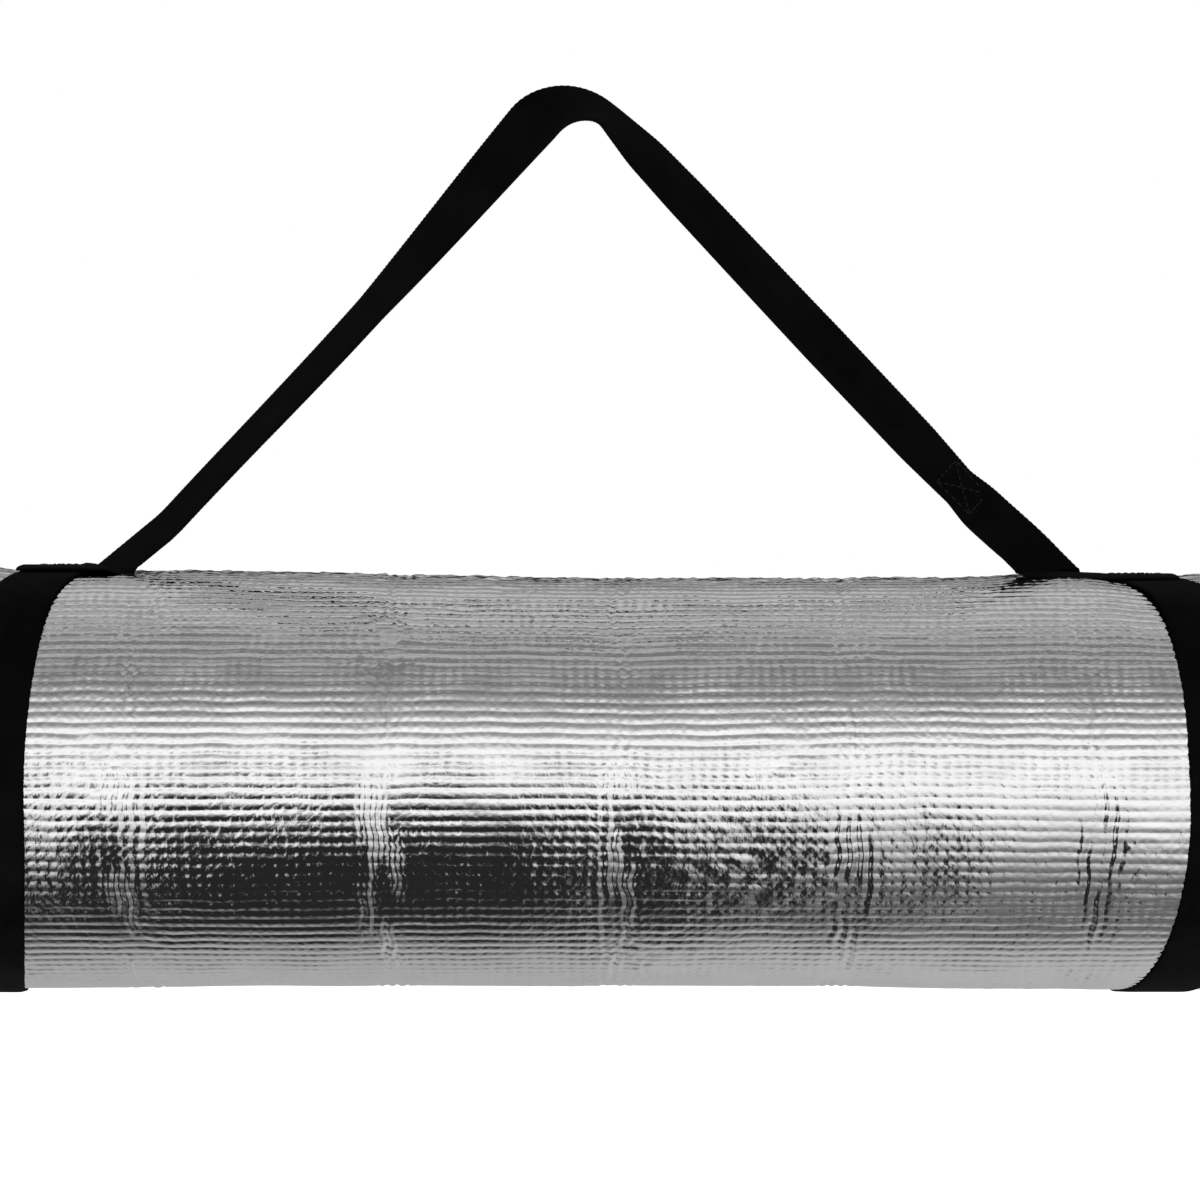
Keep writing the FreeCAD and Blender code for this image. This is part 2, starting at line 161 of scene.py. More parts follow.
# --- Materials ------------------------------------------------------------------------------------
def new_material(name):
    material = bpy.data.materials.new(name)
    material.use_nodes = True
    nodes = material.node_tree.nodes
    nodes.clear()
    output = nodes.new("ShaderNodeOutputMaterial")
    shader = nodes.new("ShaderNodeBsdfPrincipled")
    material.node_tree.links.new(shader.outputs[0], output.inputs["Surface"])
    return material, shader


class Nodes:
    """Short ways to add shader nodes to one material."""

    def __init__(self, tree):
        self.tree = tree

    def add(self, kind, **settings):
        node = self.tree.nodes.new(kind)
        for name, value in settings.items():
            setattr(node, name, value)
        return node

    def link(self, source, target):
        self.tree.links.new(source, target)

    def math(self, operation, first, second=None):
        node = self.add("ShaderNodeMath", operation=operation)
        for place, value in enumerate((first, second)):
            if value is None:
                continue
            if isinstance(value, (int, float)):
                node.inputs[place].default_value = value
            else:
                self.link(value, node.inputs[place])
        return node.outputs[0]

    def noise(self, vector, scale, detail=2.0, roughness=0.5):
        node = self.add("ShaderNodeTexNoise")
        node.inputs["Scale"].default_value = scale
        node.inputs["Detail"].default_value = detail
        node.inputs["Roughness"].default_value = roughness
        self.link(vector, node.inputs["Vector"])
        return node.outputs["Fac"]

    def ramp(self, value, stops):
        node = self.add("ShaderNodeValToRGB")
        elements = node.color_ramp.elements
        elements.remove(elements[1])
        for number, (position, grey) in enumerate(stops):
            element = elements[0] if number == 0 else elements.new(position)
            element.position = position
            element.color = (grey, grey, grey, 1) if isinstance(grey, (int, float)) else (*grey, 1)
        self.link(value, node.inputs[0])
        return node.outputs["Color"]

    def stretch(self, value, low, high):
        """Map 0..1 onto low..high."""
        node = self.add("ShaderNodeMapRange")
        node.inputs["To Min"].default_value = low
        node.inputs["To Max"].default_value = high
        self.link(value, node.inputs["Value"])
        return node.outputs["Result"]

    def bump(self, height, strength, distance, below=None):
        node = self.add("ShaderNodeBump")
        node.inputs["Strength"].default_value = strength
        node.inputs["Distance"].default_value = distance
        self.link(height, node.inputs["Height"])
        if below is not None:
            self.link(below, node.inputs["Normal"])
        return node.outputs["Normal"]


def foil_material():
    """Metallised film pressed into small pillows, with dimples, fine crinkles and faint scuffs.

    Its UV map counts the pillows along and around the roll. The mesh holds the rows of pillows; the
    bump adds each pillow's own dimple, the sharp valleys between rows, lumps, patches of crumples
    and crinkles.
    """
    material, shader = new_material("foil_film")
    make = Nodes(material.node_tree)
    cells = make.add("ShaderNodeUVMap", uv_map="pattern").outputs["UV"]
    place = make.add("ShaderNodeTexCoord").outputs["Object"]
    split = make.add("ShaderNodeSeparateXYZ")
    make.link(cells, split.inputs[0])
    wander = make.stretch(make.noise(place, 90.0, 2.0, 0.6), -0.5, 0.5)
    along = make.math("ADD", split.outputs["X"], wander)

    def wave(cell):
        return make.math("COSINE", make.math("MULTIPLY", cell, 2 * math.pi))

    def deep(height, depth):
        return make.math("MULTIPLY", height, depth)

    dimple = make.math("MULTIPLY", wave(along), make.math("ADD", wave(split.outputs["Y"]), 0.6))
    patchy = make.ramp(make.noise(place, 45.0, 2.0, 0.6), [(0.35, 0.3), (0.65, 1.6)])
    dimple = deep(make.math("MULTIPLY", dimple, patchy), DIMPLE_DEPTH)
    share = make.math("FRACT", split.outputs["Y"])
    valley = deep(make.math("MULTIPLY", share, make.math("SUBTRACT", 1.0, share)), VALLEY_DEPTH)
    lumps = deep(make.noise(place, 240.0, 2.0, 0.55), LUMP_DEPTH)
    crinkle = deep(make.noise(place, 620.0, 2.0, 0.6), CRINKLE_DEPTH)
    crumpled = make.ramp(make.noise(place, 24.0, 1.0, 0.5), [(0.45, 0.0), (0.62, 1.0)])
    crumple = make.math("MULTIPLY", make.noise(place, 400.0, 2.0, 0.6), crumpled)
    height = make.math("ADD", make.math("ADD", dimple, valley), deep(crumple, CRUMPLE_DEPTH))
    height = make.math("ADD", height, make.math("ADD", lumps, crinkle))
    make.link(make.bump(height, 1.0, MM), shader.inputs["Normal"])
    scuff = make.noise(place, 60.0, 4.0, 0.65)
    make.link(make.ramp(scuff, [(0.35, 0.82), (0.65, 0.88)]), shader.inputs["Base Color"])
    make.link(make.stretch(scuff, 0.04, 0.09), shader.inputs["Roughness"])
    shader.inputs["Metallic"].default_value = 1.0
    return material


def foam_material():
    """Closed-cell foam: small round cells, cut open at the edges."""
    material, shader = new_material("cell_foam")
    make = Nodes(material.node_tree)
    place = make.add("ShaderNodeTexCoord").outputs["Object"]
    cells = make.add("ShaderNodeTexVoronoi", feature="F1")
    cells.inputs["Scale"].default_value = 950.0
    make.link(place, cells.inputs["Vector"])
    mottle = make.noise(place, 120.0, 3.0, 0.6)
    colour = make.ramp(mottle, [(0.3, (0.70, 0.71, 0.72)), (0.7, (0.80, 0.81, 0.82))])
    make.link(colour, shader.inputs["Base Color"])
    normal = make.bump(cells.outputs["Distance"], 0.7, 0.35 * MM)
    normal = make.bump(mottle, 0.4, 0.4 * MM, normal)
    make.link(normal, shader.inputs["Normal"])
    shader.inputs["Roughness"].default_value = 0.8
    return material


TWILL_PITCH = 0.55 * MM
TWILL_HEIGHT = 0.08 * MM


def webbing_material():
    """Black polypropylene webbing: fine diagonal yarns over the woven ribs of the mesh."""
    material, shader = new_material("black_webbing")
    make = Nodes(material.node_tree)
    uv = make.add("ShaderNodeUVMap", uv_map="pattern").outputs["UV"]
    split = make.add("ShaderNodeSeparateXYZ")
    make.link(uv, split.inputs[0])
    yarn = 2 * math.pi / TWILL_PITCH
    slant = make.math("ADD", split.outputs["X"], split.outputs["Y"])
    counter = make.math("SUBTRACT", split.outputs["X"], split.outputs["Y"])
    twill = make.math("SINE", make.math("MULTIPLY", slant, yarn))
    weft = make.math("SINE", make.math("MULTIPLY", counter, yarn / 2))
    weave = make.math("MULTIPLY", twill, make.stretch(weft, 0.4, 1.0))
    place = make.add("ShaderNodeTexCoord").outputs["Object"]
    fuzz = make.noise(place, 1500.0, 3.0, 0.7)
    normal = make.bump(weave, 0.6, TWILL_HEIGHT)
    normal = make.bump(fuzz, 0.4, TWILL_HEIGHT, normal)
    make.link(normal, shader.inputs["Normal"])
    worn = make.noise(place, 45.0, 3.0, 0.6)
    make.link(make.ramp(worn, [(0.3, 0.0012), (0.7, 0.0034)]), shader.inputs["Base Color"])
    make.link(make.stretch(fuzz, 0.55, 0.8), shader.inputs["Roughness"])
    shader.inputs["Specular IOR Level"].default_value = 0.03
    return material


def thread_material():
    """Bonded black sewing thread with a slight sheen along its twist."""
    material, shader = new_material("black_thread")
    make = Nodes(material.node_tree)
    place = make.add("ShaderNodeTexCoord").outputs["Object"]
    twist = make.noise(place, 2600.0, 2.0, 0.6)
    make.link(make.ramp(twist, [(0.3, 0.004), (0.7, 0.010)]), shader.inputs["Base Color"])
    make.link(make.bump(twist, 0.5, 0.05 * MM), shader.inputs["Normal"])
    shader.inputs["Roughness"].default_value = 0.5
    shader.inputs["Specular IOR Level"].default_value = 0.15
    return material


# Depths of the film's finer relief, which its bump holds, in millimetres.
DIMPLE_DEPTH = 0.022
VALLEY_DEPTH = 0.26
LUMP_DEPTH = 0.20
CRINKLE_DEPTH = 0.06
CRUMPLE_DEPTH = 0.12
foil_film = foil_material()
cell_foam = foam_material()
black_webbing = webbing_material()
black_thread = thread_material()


def dress(piece, material, body):
    piece.data.materials.append(material)
    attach(piece, body)


# --- The foil -------------------------------------------------------------------------------------
# `around` is the length along the outer turn from its end underneath: up the front, over the top and
# down the back. The embossed ridges run along the roll; creases run round it at regular places.
FRONT_ARC = math.pi * FRONT_RADIUS
BACK_ARC = math.pi * BACK_RADIUS
EMBOSS_PITCH = 3.93 * MM
CREASE_PLACES = [place * MM for place in (-250, -162, -70, 15, 99, 187, 262)]
CREASE_SPREAD = 7.5 * MM
END_MARGIN = 5 * MM
# Heights of the relief that the mesh holds.
ROW_HEIGHT = 0.21 * MM
FOLD_HEIGHT = 0.27 * MM
CREASE_SINK = 0.2 * MM
CRUMPLE_HEIGHT = 0.07 * MM
PUCKER_HEIGHT = 0.18 * MM
DENT_HEIGHT = 0.12 * MM
# Where the film is crumpled more than elsewhere, as (middle, spread) along or around it.
CROWN_CRUMPLE, CROWN_CRUMPLE_AROUND = 3.6, (FRONT_ARC - 5 * MM, 12 * MM)
PATCH_CRUMPLE, PATCH_ALONG, PATCH_AROUND = 1.6, (62 * MM, 36 * MM), (98 * MM, 20 * MM)
PUCKER_AROUND = (FRONT_ARC - 3 * MM, 9 * MM)
# Each loop: its middle at the front, and how far its top and its bottom lie along from there.
LEFT_LOOP = (-208.7 * MM, 13.0 * MM, -20.5 * MM)
RIGHT_LOOP = (231.2 * MM, -19.0 * MM, -12.0 * MM)
LOOP_BEND = 0.36
LOOP_BEND_ROUNDING = 0.10
# The rounded bend keeps this much of the top's offset at the crown.
CROWN_SHARE = 0.73
LEFT_LOOP_TOP = LEFT_LOOP[0] + CROWN_SHARE * LEFT_LOOP[1]
RIGHT_LOOP_TOP = RIGHT_LOOP[0] + CROWN_SHARE * RIGHT_LOOP[1]
# Where the film is drawn smooth on the roll's top, as (middle, spread) around and along it.
SMOOTH_AROUND = (FRONT_ARC - 18 * MM, 24 * MM)
SMOOTH_BY_LEFT_LOOP = (LEFT_LOOP_TOP + 28 * MM, 22 * MM)
SMOOTH_BY_RIGHT_LOOP = (RIGHT_LOOP_TOP - 36 * MM, 20 * MM)
# How far the soft roll stands out of a true cylinder, and is held in.
LEFT_LIFT, RIGHT_LIFT, LEFT_FLARE = 3.1 * MM, 1.6 * MM, 3.0 * MM
BOTTOM_RIGHT_LIFT, BOTTOM_LEFT_LIFT = 1.2 * MM, 0.7 * MM
TOP_SINK, BOTTOM_SINK = 0.8 * MM, 1.4 * MM
LEFT_TOP_BITE, RIGHT_TOP_BITE, SIDE_BITE = 0.6 * MM, 2.6 * MM, 0.4 * MM
BITE_SPREAD = 15 * MM


def crease_share(along):
    return sum(hump(along, place, CREASE_SPREAD) for place in CREASE_PLACES)


def pillow_phase(along, around):
    """Pillows counted around the roll: their rows wander slightly from straight."""
    drift = 0.05 * waves(along, around, 11, 110 * MM, 80 * MM)
    drift = drift + 0.035 * waves(along, around, 12, 16 * MM, 24 * MM)
    return around / EMBOSS_PITCH + drift


def smoothed_share(along, around):
    """Where the film is drawn smooth: on the top of the roll beside the two loops."""
    beside_loops = hump(along, *SMOOTH_BY_LEFT_LOOP) + hump(along, *SMOOTH_BY_RIGHT_LOOP)
    return hump(around, *SMOOTH_AROUND) * beside_loops


def emboss_height(along, around):
    """The film's relief: rows of pillows, folds at the creases, crumples, puckers and soft dents."""
    strength = np.clip(1 + 0.25 * waves(along, around, 13, 30 * MM, 18 * MM), 0.4, 1.5)
    creased = crease_share(along)
    share = pillow_phase(along, around) % 1
    rows = 4 * share * (1 - share) - 0.5
    pillow_angle = 2 * math.pi * along / EMBOSS_PITCH
    ribs = np.cos(pillow_angle + 0.9 * waves(along, around, 19, 30 * MM, 13 * MM))
    lively = np.clip(0.55 + 0.75 * waves(along, around, 14, 8 * MM, 22 * MM), 0, 1.6)
    crumpled = smooth_step(waves(along, around, 16, 60 * MM, 45 * MM), 0.5, 1.6)
    crumpled = crumpled + CROWN_CRUMPLE * hump(around, *CROWN_CRUMPLE_AROUND)
    crumpled = crumpled + PATCH_CRUMPLE * hump(along, *PATCH_ALONG) * hump(around, *PATCH_AROUND)
    crumple = waves(along, around, 15, 6 * MM, 5 * MM, 16)
    pucker = np.cos(pillow_angle) * np.cos(2 * math.pi * share) * hump(around, *PUCKER_AROUND)
    relief = (
        ROW_HEIGHT * rows * strength * (1 - 0.3 * creased)
        + FOLD_HEIGHT * ribs * creased * lively
        + CRUMPLE_HEIGHT * crumple * crumpled
        + PUCKER_HEIGHT * pucker
        - CREASE_SINK * creased
    )
    relief = relief * (1 - 0.85 * np.clip(smoothed_share(along, around), 0, 1))
    from_end = HALF_LENGTH - np.abs(along)
    return relief * smooth_step(from_end, 0, END_MARGIN) + dents(along, around)


def dents(along, around):
    """Broad soft dents that the foam shares with the film."""
    return DENT_HEIGHT * waves(along, around, 17, 55 * MM, 60 * MM)


def roll_swell(along, top_share, bottom_share):
    """How far the soft roll stands in or out of a true cylinder along its length."""
    left_bite = hump(along, LEFT_LOOP_TOP, BITE_SPREAD)
    right_bite = hump(along, RIGHT_LOOP_TOP, BITE_SPREAD)
    left_lift = LEFT_LIFT * smooth_step(-along, -20 * MM, 170 * MM)
    right_lift = RIGHT_LIFT * smooth_step(along, 130 * MM, 190 * MM)
    flare = LEFT_FLARE * smooth_step(-along, 216 * MM, 240 * MM)
    top = left_lift + right_lift + flare - TOP_SINK
    top = top - LEFT_TOP_BITE * left_bite - RIGHT_TOP_BITE * right_bite
    full_right = BOTTOM_RIGHT_LIFT * smooth_step(along, 60 * MM, 190 * MM)
    full_left = BOTTOM_LEFT_LIFT * smooth_step(-along, 120 * MM, 200 * MM)
    bottom = full_right + full_left - BOTTOM_SINK
    side_share = 1 - top_share - bottom_share
    sides = -SIDE_BITE * (left_bite + right_bite)
    return top_share * top + bottom_share * bottom + side_share * sides


def outer_turn(along, around, lift=0.0):
    """Points on the outer turn's two half circles, `lift` out of the swollen roll."""
    on_front = around <= FRONT_ARC
    radius = np.where(on_front, FRONT_RADIUS, BACK_RADIUS)
    turned = np.where(on_front, around / FRONT_RADIUS, math.pi + (around - FRONT_ARC) / BACK_RADIUS)
    centre_z = np.where(on_front, AXIS_Z, BACK_CENTRE_Z)
    sine = -np.cos(turned)
    cosine = np.sin(turned)
    top_share = np.clip(sine, 0, 1) ** 2
    bottom_share = np.clip(-sine, 0, 1) ** 2
    reach = radius + roll_swell(along, top_share, bottom_share) + lift
    return np.stack([along, AXIS_Y - cosine * reach, centre_z + sine * reach], axis=-1)


ROWS_PER_PILLOW = 6
# Steps between columns, in millimetres: between the creases, and how much less in them.
COLUMN_STEP, CREASE_STEP_CUT = 2.6, 1.7


def foil_columns():
    """Places along the roll: close together in the creases, wider between them."""
    places = [-HALF_LENGTH]
    while places[-1] < HALF_LENGTH:
        fine = min(float(crease_share(places[-1])) * 3, 1.0)
        places.append(places[-1] + (COLUMN_STEP - CREASE_STEP_CUT * fine) * MM)
    places[-1] = HALF_LENGTH
    return np.array(places)


def foil_half(name, start, end):
    """One half of the outer turn's foil."""
    rows = int(round((end - start) / EMBOSS_PITCH * ROWS_PER_PILLOW))
    around, along = np.meshgrid(np.linspace(start, end, rows + 1), foil_columns(), indexing="ij")
    points = outer_turn(along, around, emboss_height(along, around))
    piece = grid_piece(name, points, along / EMBOSS_PITCH, pillow_phase(along, around))
    dress(piece, foil_film, "pad_roll")
    return piece


foil_front = foil_half("foil_front", 0.0, FRONT_ARC)
foil_half("foil_back", FRONT_ARC, FRONT_ARC + BACK_ARC)

# --- The foam -------------------------------------------------------------------------------------
# The sheet is wound from the core outward in half circles, front and back in turn. `turn` counts half
# turns from the core; a whole number is a join at the top or the bottom.
FOAM_STEP = 3.2 * MM
# The foam stays this far under the film, but for its edges, which show at the ends.
FOAM_DEPTH = 1.15 * MM
EDGE_ROUNDING, EDGE_ROUNDING_LENGTH = 0.7 * MM, 1.2 * MM
END_SET_BACK, END_WANDER = 1.1 * MM, 0.8 * MM
END_ZONE = 20 * MM
CUT_ROUGHNESS = 0.12 * MM
INNER_SKIN = 0.05 * MM
INNER_FILM_HALF, INNER_FILM_REACH = 0.12 * MM, 0.35 * MM


def winding():
    """Turn numbers spaced evenly along the sheet, and the sheet's length up to each."""
    turns, lengths = [0.0], [0.0]
    while turns[-1] < HALF_TURNS:
        radius = CORE_RADIUS + int(turns[-1]) * PITCH / 2 + FOAM_THICKNESS
        turns.append(turns[-1] + FOAM_STEP / (math.pi * radius))
        lengths.append(lengths[-1] + FOAM_STEP)
    turns[-1] = float(HALF_TURNS)
    return np.array(turns), np.array(lengths)


def wound_points(turns, along, skin, extra=0.0):
    """Points `skin` outward of the sheet's inner face, at these half turns and places along the roll."""
    half = np.minimum(np.floor(turns), HALF_TURNS - 1)
    share = turns - half
    is_front = (half % 2) == 0
    angle = np.where(is_front, math.pi / 2, -math.pi / 2) + share * math.pi
    centre_z = np.where(is_front, AXIS_Z, BACK_CENTRE_Z)
    radius = CORE_RADIUS + half * PITCH / 2 + skin
    sine, cosine = np.sin(angle), np.cos(angle)
    swell = roll_swell(along, np.clip(sine, 0, 1) ** 2, np.clip(-sine, 0, 1) ** 2)
    reach = radius + swell * (radius / FRONT_RADIUS) ** 2 + extra
    return np.stack([along, AXIS_Y + cosine * reach, centre_z + sine * reach], axis=-1)


def end_wander(turns, side):
    """How far a turn's cut edge stands out at one end of the roll: turns never line up exactly."""
    slow = waves(turns, 0 * turns, 31 + side, 2.3, 1.0, 5)
    wander = END_WANDER * np.clip(slow, -1.4, 1.2) * smooth_step(HALF_TURNS - turns, 0, 2)
    return wander - END_SET_BACK


def foam_around(turns):
    """The outer turn's own length at these half turns, counted as on the foil."""
    back_share = np.clip(HALF_TURNS - 1 - turns, 0, 1)
    front_share = np.clip(HALF_TURNS - turns, 0, 1)
    return front_share * FRONT_ARC + back_share * BACK_ARC


def foam_section():
    """The sheet's closed outline: places along the roll, and `skin` there. It runs along the outer face
    from left to right, down the cut edge, back along the inner face and up the other edge."""
    inside = np.array([0.0, 0.3, 0.9, 2.2, 5.0, 9.0]) * MM
    middle = np.linspace(-HALF_LENGTH + 14 * MM, HALF_LENGTH - 14 * MM, 44)
    along = np.concatenate([-HALF_LENGTH + inside, middle, (HALF_LENGTH - inside)[::-1]])
    from_end = HALF_LENGTH - np.abs(along)
    rounding = EDGE_ROUNDING * (1 - smooth_step(from_end, 0, EDGE_ROUNDING_LENGTH))
    outer_skin = FOAM_THICKNESS - FILM_OFFSET - rounding
    outer_skin = outer_skin - FOAM_DEPTH * smooth_step(from_end, 2 * MM, 8 * MM)
    inner_skin = INNER_SKIN + rounding
    depths = np.linspace(1, 0, 7)[1:-1]
    edge_skin = outer_skin[-1] * depths + inner_skin[-1] * (1 - depths)
    edge_along = np.full(len(depths), HALF_LENGTH)
    section_x = np.concatenate([along, edge_along, along[::-1], -edge_along])
    section_skin = np.concatenate([outer_skin, edge_skin, inner_skin[::-1], edge_skin[::-1]])
    return section_x, section_skin


def make_foam():
    turns, lengths = winding()
    section_x, section_skin = foam_section()
    turn_grid, x_grid = np.meshgrid(turns, section_x, indexing="ij")
    skin_grid = np.broadcast_to(section_skin, turn_grid.shape)
    near_right = smooth_step(x_grid, HALF_LENGTH - END_ZONE, HALF_LENGTH)
    near_left = smooth_step(-x_grid, HALF_LENGTH - END_ZONE, HALF_LENGTH)
    along = x_grid + near_right * end_wander(turn_grid, 1) - near_left * end_wander(turn_grid, 0)
    outward = skin_grid / FOAM_THICKNESS
    is_outer = smooth_step(turn_grid, HALF_TURNS - 2.1, HALF_TURNS - 1.9)
    dent = dents(along, foam_around(turn_grid)) * outward * is_outer
    cut = CUT_ROUGHNESS * waves(turn_grid * 0.2, skin_grid, 33, 0.02, 4 * MM, 9)
    along = along + cut * (np.abs(x_grid) > HALF_LENGTH - EDGE_ROUNDING_LENGTH)
    points = wound_points(turn_grid, along, skin_grid, dent)
    length_grid = np.broadcast_to(lengths[:, None], turn_grid.shape)
    foam = grid_piece("foam_roll", points, along, length_grid, wrap_columns=True, caps=True)
    dress(foam, cell_foam, "pad_roll")
    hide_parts("foam_sheet")


def make_inner_foil():
    """The film on the turns inside, whose edge shows as a bright line between the foam's turns."""
    turns, lengths = winding()
    turns, lengths = turns[turns < HALF_TURNS - 2], lengths[turns < HALF_TURNS - 2]
    across = np.array([-HALF_LENGTH, -0.2, 0.2, HALF_LENGTH])
    outer_skin = np.full(4, FOAM_THICKNESS + INNER_FILM_HALF)
    inner_skin = np.full(4, FOAM_THICKNESS - INNER_FILM_HALF)
    section_x = np.concatenate([across, across[::-1]])
    section_skin = np.concatenate([outer_skin, inner_skin])
    turn_grid, x_grid = np.meshgrid(turns, section_x, indexing="ij")
    skin_grid = np.broadcast_to(section_skin, turn_grid.shape)
    right = (end_wander(turn_grid, 1) + INNER_FILM_REACH) * (x_grid > HALF_LENGTH / 2)
    left = (end_wander(turn_grid, 0) + INNER_FILM_REACH) * (x_grid < -HALF_LENGTH / 2)
    along = x_grid + right - left
    points = wound_points(turn_grid, along, skin_grid)
    length_grid = np.broadcast_to(lengths[:, None], turn_grid.shape)
    cells = (along / EMBOSS_PITCH, length_grid / EMBOSS_PITCH)
    film_piece = grid_piece("foil_inner_turns", points, *cells, wrap_columns=True, caps=True)
    dress(film_piece, foil_film, "pad_roll")


make_foam()
make_inner_foil()

# --- Webbing --------------------------------------------------------------------------------------
# A strip is swept along its middle line. Its faces carry a plain weave of raised yarns, its edges
# small selvedge loops.
YARN = 0.85 * MM
WEAVE_HEIGHT = 0.07 * MM
SELVEDGE = 0.005
# The section is flat but for its edges, which are rounded down to this share of its thickness.
FLATNESS = 14
EDGE_SHARE = 0.25


def unit(vectors):
    return vectors / np.linalg.norm(vectors, axis=-1, keepdims=True)


def webbing_section(columns):
    """Across and through positions of the strip's closed outline, each from -1 to 1."""
    across = np.linspace(-1, 1, columns)
    bulge = np.maximum((1 - np.abs(across) ** FLATNESS) ** 0.5, EDGE_SHARE)
    upper = np.stack([across, bulge], axis=1)
    lower = np.stack([across[::-1], -bulge], axis=1)
    return np.concatenate([upper, lower])


def webbing_mesh(name, middles, across, normals, closed, crown=None, skew=None):
    """Sweep the webbing's outline along middles; normals point out of its outer face. `crown` says how
    far each row settles onto the round top of the roll, `skew` how far it runs on along its back edge."""
    rows = len(middles)
    columns = 2 * (int(WEBBING_WIDTH / YARN) // 2) + 1
    section = webbing_section(columns)
    row, column = np.meshgrid(np.arange(rows), np.arange(len(section)), indexing="ij")
    weave = WEAVE_HEIGHT * np.where((row + column) % 2 == 0, 1.0, -1.0)
    selvedge = 1 + SELVEDGE * np.where(row % 2 == 0, 1.0, -1.0)
    half_width = WEBBING_WIDTH / 2 * section[:, 0] * selvedge
    sides = np.sign(section[:, 1])
    through = WEBBING_THICKNESS / 2 * section[:, 1] + sides * (weave - WEAVE_HEIGHT)
    points = (
        middles[:, None, :]
        + across[:, None, :] * half_width[:, :, None]
        + normals[:, None, :] * through[:, :, None]
    )
    if skew is not None:
        heading = unit(np.gradient(middles, axis=0))
        points = points + heading[:, None, :] * (skew[:, None] * half_width)[:, :, None]
    if crown is not None:
        points[..., 2] -= crown[:, None] * settle_drop(points[..., 1])
    steps = np.linalg.norm(np.diff(middles, axis=0), axis=1)
    lengths = np.concatenate([[0], np.cumsum(steps)])
    lengthwise = np.broadcast_to(lengths[:, None], points.shape[:2])
    crosswise = np.broadcast_to(section[:, 0] * WEBBING_WIDTH / 2, points.shape[:2])
    return grid_piece(name, points, lengthwise, crosswise, closed, True, not closed)


def settle_drop(y):
    """How much lower the roll's round top is at y than along its middle."""
    return (y - AXIS_Y) ** 2 / (2 * (FRONT_RADIUS + WEBBING_THICKNESS))


# --- The loops ------------------------------------------------------------------------------------
TAIL_RADIUS, TAIL_RISE = 3 * MM, 2 * MM
# How far each loop stands out of the roll's own swelling at the bottom.
LEFT_LOOP_SAG, RIGHT_LOOP_SAG = 0.3 * MM, -0.3 * MM


def hull_outline(lift, step):
    """Points (y, z) and outward normals of the line that hugs the roll, `lift` above it, from the top
    round the front, over the sheet's end, straight to the back half and up again."""
    step_angle = math.acos(BACK_RADIUS / (FRONT_RADIUS + PITCH / 2))
    front, back = (AXIS_Y, AXIS_Z), (AXIS_Y, BACK_CENTRE_Z)
    tail = (AXIS_Y, AXIS_Z - FRONT_RADIUS + TAIL_RISE)
    # Each arc's centre, radius, and first and last angle in degrees.
    arcs = [
        (front, FRONT_RADIUS + lift, 90, 262),
        (tail, TAIL_RADIUS + lift, 268, 270 + math.degrees(step_angle)),
        (back, BACK_RADIUS + lift, math.degrees(step_angle) - 90, 90),
    ]
    corners = []
    for (centre_y, centre_z), radius, first, last in arcs:
        count = max(int(math.radians(last - first) * radius / step), 6)
        for angle in np.radians(np.linspace(first, last, count)):
            corners.append((centre_y + radius * math.cos(angle), centre_z + radius * math.sin(angle)))
    corners = np.array(corners)
    steps = np.linalg.norm(np.diff(corners, axis=0), axis=1)
    lengths = np.concatenate([[0], np.cumsum(steps)])
    rows = 2 * int(lengths[-1] / step / 2)
    even = np.arange(rows) * lengths[-1] / rows
    line = np.stack([np.interp(even, lengths, corners[:, axis]) for axis in (0, 1)], axis=1)
    ahead, behind = np.roll(line, -2, axis=0), np.roll(line, 2, axis=0)
    heading = unit(ahead - behind)
    normals = np.stack([heading[:, 1], -heading[:, 0]], axis=1)
    return line, normals


def loop_middle(front_x, top_pull, bottom_pull, rise, forward):
    """The x of a loop's middle line. The strap pulls its top along the roll, in a short bend at the
    crown; the bottom has slipped along by `bottom_pull`. rise and forward run from -1 to 1."""
    off_crown = np.sqrt(forward**2 + LOOP_BEND_ROUNDING**2)
    crown_share = (1 - np.tanh(off_crown / LOOP_BEND)) * smooth_step(rise, -0.2, 0.3)
    under_share = (1 - off_crown) * smooth_step(-rise, -0.1, 0.4)
    return front_x + top_pull * crown_share + bottom_pull * under_share


def make_loop(name, side, places, sag):
    """One webbing loop; `places` are its middle at the front and how far its top and bottom are off."""
    line, flat_normals = hull_outline(LOOP_MIDDLE_LIFT, YARN)
    y, z = line[:, 0], line[:, 1]
    rise = np.clip((z - AXIS_Z) / FRONT_RADIUS, -1, 1)
    forward = -(y - AXIS_Y) / FRONT_RADIUS
    x = loop_middle(*places, rise, forward)
    top_share, bottom_share = np.clip(rise, 0, 1) ** 2, np.clip(-rise, 0, 1) ** 2
    swell = roll_swell(x, top_share, bottom_share) + sag * bottom_share
    normals = np.stack([0 * x, flat_normals[:, 0], flat_normals[:, 1]], axis=1)
    middles = np.stack([x, y, z], axis=1) + normals * swell[:, None]
    heading = unit(np.roll(middles, -2, axis=0) - np.roll(middles, 2, axis=0))
    across = unit(np.cross(heading, normals))
    loop = webbing_mesh(name, middles, across, normals, closed=True)
    dress(loop, black_webbing, "loops")
    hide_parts(f"{side}_loop")


make_loop("left_loop_webbing", "left", LEFT_LOOP, LEFT_LOOP_SAG)
make_loop("right_loop_webbing", "right", RIGHT_LOOP, RIGHT_LOOP_SAG)

